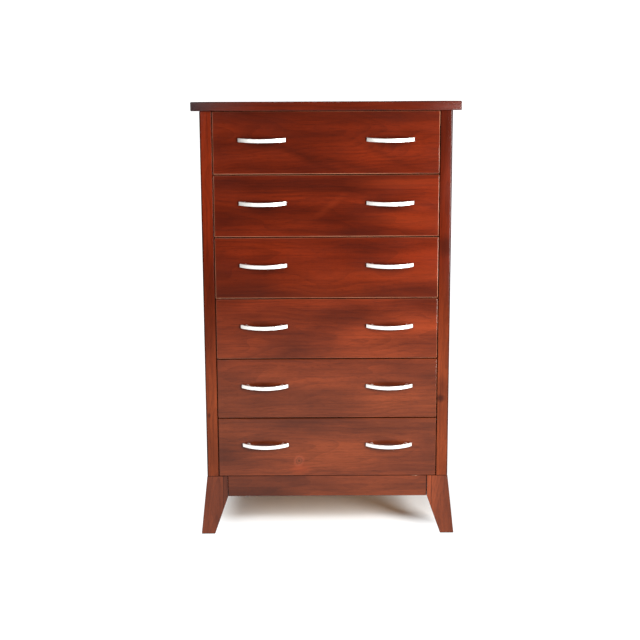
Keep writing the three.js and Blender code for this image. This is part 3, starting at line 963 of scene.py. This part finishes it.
def addKnot(tree, colour):
    wide, high = knot["wide"], knot["high"]
    colour = addLayers(tree, colour, addSpot(
        tree, (knot["x"], knot["z"], wide * knot["halo"], high * knot["halo"], knot["turn"]), 0.3,
        knot["haloShare"], linear(knot["haloColour"])))
    spot = addSpot(tree, (knot["x"], knot["z"], wide, high, knot["turn"]), 0.25, 1.0, None)
    wave = addNode(tree, "ShaderNodeMath", {0: spot[0], 1: knot["rings"]}, operation="MULTIPLY").outputs[0]
    ring = addNode(tree, "ShaderNodeMath", {0: wave, 1: 1.0}, operation="PINGPONG").outputs[0]
    shade = addNode(tree, "ShaderNodeMapRange", {"Value": ring, 1: 0.2, 2: 1.0, 3: 0.25, 4: 0.85}).outputs[0]
    rings = addLayers(tree, colour, (shade, 0, 1, 1.0, linear(knot["colour"])))
    return addLayers(tree, colour, spot[:4] + (rings,))


def frontClouds(number):
    def extra(tree, space, colour):
        dark = linear(stainedLook["streakColour"])
        # painted shadow of each pull, on the front around and below it
        for name in ("left", "right"):
            pull = nodeMiddle("drawer_%d_%s_pull" % (number, name)) / mm
            drop = pullShadow["drop" if number < 4 else "lowDrop"]
            spot = (pull.x, pull.z - drop, pullShadow["wide"], pullShadow["high"], 0)
            colour = addLayers(tree, colour, addSpot(tree, spot, 0.7, pullShadow["strength"], dark))
        for *spot, share in frontFigureAndShadow.get(number, []):
            tint = dark if share > 0 else linear(frontFigureAndShadow["lighter"])
            colour = addLayers(tree, colour, addSpot(tree, spot, 0.9, abs(share), tint))
        return addKnot(tree, colour) if number == 6 else colour
    return extra


insideLook = {
    "pale": "#b9805c", "brown": "#97603f", "grain": (200, 5, 5), "brushPatch": (40, 12, 12), "brushReach": 3,
}


def frontInside(body):
    # the stain stops at the back of the front: its inner face and its pins are bare wood
    low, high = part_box(body + "_front")
    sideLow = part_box(body + "_right_side")[0]
    clouds, look, arris = frontClouds(int(body[-1])), insideLook, drawerFront["arris"] * mm

    def extra(tree, space, colour):
        colour = clouds(tree, space, colour)
        place = addNode(tree, "ShaderNodeTexCoord").outputs["Object"]
        across, back, up = addNode(tree, "ShaderNodeSeparateXYZ", {0: place}).outputs
        # painted shade on the front's edges, which face the gaps
        colour = addLayers(tree, colour, (back, low.y + 0.6 * arris, low.y + 1.4 * arris,
                                          drawerFront["gapShadeShare"], linear(drawerFront["gapShadeColour"])))
        brushed = stretched(tree, space, look["brushPatch"], (3, 1, 2)).outputs["Fac"]
        edge = addNode(tree, "ShaderNodeMath", {0: brushed, 1: look["brushReach"] * mm, 2: back},
                       operation="MULTIPLY_ADD").outputs[0]
        outward = addNode(tree, "ShaderNodeMath", {0: across}, operation="ABSOLUTE").outputs[0]
        # bare behind the stain's ragged end, and on the pins, beside and behind the side's front corner
        inner, beside, behind = [
            addNode(tree, "ShaderNodeMapRange", {"Value": source, 1: first, 2: last}).outputs[0]
            for source, first, last in ((edge, high.y + 0.6 * mm, high.y + 1.4 * mm),
                                        (outward, sideLow.x - 0.2 * mm, sideLow.x),
                                        (back, sideLow.y - 0.2 * mm, sideLow.y))]
        pins = addNode(tree, "ShaderNodeMath", {0: beside, 1: behind}, operation="MULTIPLY").outputs[0]
        bare = addNode(tree, "ShaderNodeMath", {0: inner, 1: pins}, operation="MAXIMUM").outputs[0]
        grain = stretched(tree, space, look["grain"], (9, 4, 7), detail=3.0).outputs["Fac"]
        wood = addLayers(tree, linear(look["pale"]), (grain, 0.35, 0.65, 1.0, linear(look["brown"])))
        return addLayers(tree, colour, (bare, 0, 1, 1.0, wood))
    return extra


def makeBoxSide():
    low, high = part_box("drawer_1_right_side")
    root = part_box("drawer_1_front")[1].y
    bottomLow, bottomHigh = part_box("drawer_1_bottom")
    backLow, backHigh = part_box("drawer_1_back")
    play, past = boxJoint["groovePlay"] * mm, 5 * mm
    piece = addBlock("boxSide", (low.x, root + boxJoint["play"] * mm, low.z), high)
    bevelPicked(piece, "EDGE", lambda place, way: abs(way.y) > 0.9 and place.z > high.z - 0.1 * mm,
                boxShape["topRound"], 4)
    ahead = root + boxJoint["play"] * mm - low.y
    for bottom, top in tailPlaces(low, high):
        for level in (bottom, top):
            editPick(piece, "FACE", lambda place, normal: normal.y < -0.9)
            bpy.ops.mesh.bisect(plane_co=(0, 0, level), plane_no=(0, 0, 1))
            editDone()
        editPick(piece, "FACE", lambda place, normal: normal.y < -0.9 and bottom < place.z < top)
        bpy.ops.mesh.extrude_region_move(TRANSFORM_OT_translate={"value": (0, -ahead, 0)})
        editDone()
        flareTail(piece, lambda place, way: place.y < low.y + 0.1 * mm
                  and bottom - 0.1 * mm < place.z < top + 0.1 * mm, bottom, top, boxJoint["flare"] * mm)
    cutOut(piece, (low.x - past, low.y - past, bottomLow.z - play),
           (low.x + boxShape["groove"] * mm, high.y + past, bottomHigh.z + play))
    cutOut(piece, (low.x - past, backLow.y - play, bottomLow.z - play),
           (low.x + boxShape["backHousing"] * mm, backHigh.y + play, high.z + past))
    roundEdges(piece, boxShape["arris"] * mm, segments=2, sharper=40)
    finishShading(piece)
    return piece


def makeBoxBack():
    low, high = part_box("drawer_1_back")
    piece = addBlock("boxBack", low, high)
    bevelPicked(piece, "EDGE", lambda place, way: abs(way.x) > 0.9 and place.z > high.z - 0.1 * mm,
                boxShape["topRound"], 4)
    roundEdges(piece, boxShape["arris"] * mm, segments=2, sharper=40)
    finishShading(piece)
    return piece


def offsetOf(node, fromNode):
    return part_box(node)[0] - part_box(fromNode)[0]


def makeDrawers():
    front, side, back = makeDrawerFront(), makeBoxSide(), makeBoxBack()
    otherSide = mirrorPiece(side, "otherSide")
    finishShading(otherSide)
    for number in range(1, 7):
        body, name = "drawer_%d" % number, "drawer%d" % number
        step = offsetOf(body + "_front", "drawer_1_front")
        piece = copyPiece(front, name + "Front", step)
        log, tone, worn = [drawerFront[key][number - 1] for key in ("logs", "tones", "wearAndHighlightShare")]
        setMaterial(piece, stainedWood("stained mahogany, drawer %d" % number, nodeMiddle(body + "_front"),
                                       alongX, alongZ, log, tone, worn, wearLightAndShadeAbove=drawerFront["wearLightAndShadeAbove"],
                                       extra=frontInside(body)))
        hand(piece, body, "red_brown_stained_wood", body + "_front")
        for model, part, along in ((side, "right_side", alongY), (otherSide, "left_side", alongY),
                                   (back, "back", alongX)):
            node = body + "_" + part
            piece = copyPiece(model, name + "".join(word.title() for word in part.split("_")), step)
            setMaterial(piece, bareWood("bare wood, " + node.replace("_", " "), nodeMiddle(node), along, alongZ,
                                        (randomDraw.uniform(-40, 40), randomDraw.uniform(50, 90), 1.0)))
            hand(piece, body, "pale_drawer_wood", node)
        node = body + "_bottom"
        setMaterial(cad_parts[node], plywood("plywood, " + node.replace("_", " "), nodeMiddle(node), alongX,
                                                  alongY))
    takeAway(front, side, otherSide, back)


makeDrawers()
print("drawers are done")


pullShape = {
    "length": 125, "bow": 21.5, "endGap": 1.5, "droop": 6.5,
    "thickness": 4, "height": 10, "round": 0.7, "endRound": 0.35, "steps": 28,
    "postRadius": 4.5, "postFoot": 1.18, "footHeight": 1.8,  # the post flares out to its foot
}

screwShape = {"headRound": 1.5, "shankRadius": 2.0, "slotLength": 5.0, "slotWidth": 0.95, "slotDepth": 1.5}


def screwHeads(node):
    # the corners of the two screw heads behind a drawer front, left then right
    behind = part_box(node[:len("drawer_1")] + "_front")[1].y + 0.1 * mm
    places = [v.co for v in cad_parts[node].data.vertices if v.co.y > behind]
    middle = sum(v.x for v in places) / len(places)
    heads = []
    for wanted in ([v for v in places if v.x < middle], [v for v in places if v.x > middle]):
        heads.append((Vector([min(v[i] for v in wanted) for i in range(3)]),
                      Vector([max(v[i] for v in wanted) for i in range(3)])))
    return heads


def makePull(node):
    size = pullShape
    half, bow = size["length"] / 2 * mm, size["bow"] * mm
    radius = (half ** 2 + bow ** 2) / (2 * bow)
    centre, reach = radius - bow, math.asin(half / radius)
    deselectAll()
    bpy.ops.mesh.primitive_plane_add(size=1, location=(-half, 0, 0), rotation=(0, math.radians(90), -reach))
    pull = bpy.context.object
    pull.name = "pull"
    pull.scale = (size["height"] * mm, size["thickness"] * mm, 1)
    finishPlace(pull)
    editAll(pull)
    bpy.ops.mesh.bevel(offset=size["round"] * mm, segments=3, affect="VERTICES")
    bpy.ops.mesh.select_all(action="SELECT")
    bpy.ops.mesh.spin(steps=size["steps"], angle=2 * reach, center=(0, centre, 0), axis=(0, 0, -1))
    editDone()
    closeSeams(pull)
    roundEdges(pull, size["endRound"] * mm, segments=2, sharper=60)

    heads = screwHeads(node)
    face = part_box(node[:len("drawer_1")] + "_front")[0].y
    spacing = heads[1][0].x - heads[0][0].x
    droop = math.radians(size["droop"])
    endStand = (size["endGap"] + size["thickness"] / 2) * mm
    stand = math.sqrt(radius ** 2 - (spacing / 2) ** 2) - centre
    middle = (heads[0][0] + heads[1][1]) / 2
    pull.rotation_euler.x = droop
    pull.location = (middle.x, face - endStand, middle.z + stand * math.sin(droop))
    finishPlace(pull)
    for low, high in heads:
        x, z = (low.x + high.x) / 2, (low.z + high.z) / 2
        tip = face - endStand - stand * math.cos(droop)
        post = addRod("post", size["postRadius"] * mm, (x, tip, z), (x, face, z), 24)
        bisectPiece(post, (0, face - size["footHeight"] * mm, 0), (0, 1, 0))
        scaleCorners(post, lambda place, way: place.y > face - 0.1 * mm,
                     (size["postFoot"], 1, size["postFoot"]), (x, face, z))
        combine(pull, post, "UNION")
    finishShading(pull, 30)
    return pull


def makeScrews(node):
    # two pan-head screws with a cross recess, from inside the drawer
    size = screwShape
    face, behind = [corner.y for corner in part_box(node[:len("drawer_1")] + "_front")]
    screws = []
    for low, high in screwHeads(node):
        x, z = (low.x + high.x) / 2, (low.z + high.z) / 2
        screw = addRod("screw", (high.x - low.x) / 2, (x, behind, z), (x, high.y, z), 24)
        bevelPicked(screw, "FACE", lambda place, normal: normal.y > 0.9, size["headRound"], 4)
        cutCross(screw, x, high.y, z, size)
        shank = addRod("shank", size["shankRadius"] * mm, (x, face - 3 * mm, z), (x, behind + 0.5 * mm, z), 12)
        combine(screw, shank, "UNION")
        finishShading(screw, 35)
        screws.append(screw)
    return joinAll(screws, "screws")


def makePulls():
    first = "drawer_1_left_pull"
    pull, screws = makePull(first), makeScrews(first)
    # the pulls are a zinc casting, satin nickel plated; their screws are plain bright zinc-plated steel
    pullMetal = satinMetal("satin nickel plated zinc", "#efede8", 0.52, (30, 0.6, 0.6))
    screwMetal = satinMetal("bright zinc plated steel", "#b9bcc0", 0.3, (3, 0.5, 3))
    for number in range(1, 7):
        body = "drawer_%d" % number
        for side in ("left", "right"):
            node = "%s_%s_pull" % (body, side)
            step = offsetOf(node, first)
            for model, part, metal in ((pull, "Pull", pullMetal), (screws, "PullScrews", screwMetal)):
                piece = copyPiece(model, "drawer%d%s%s" % (number, side.title(), part), step)
                setMaterial(piece, metal)
                hand(piece, body, "satin_nickel_metal", node)
    takeAway(pull, screws)


makePulls()
print("pulls are done")
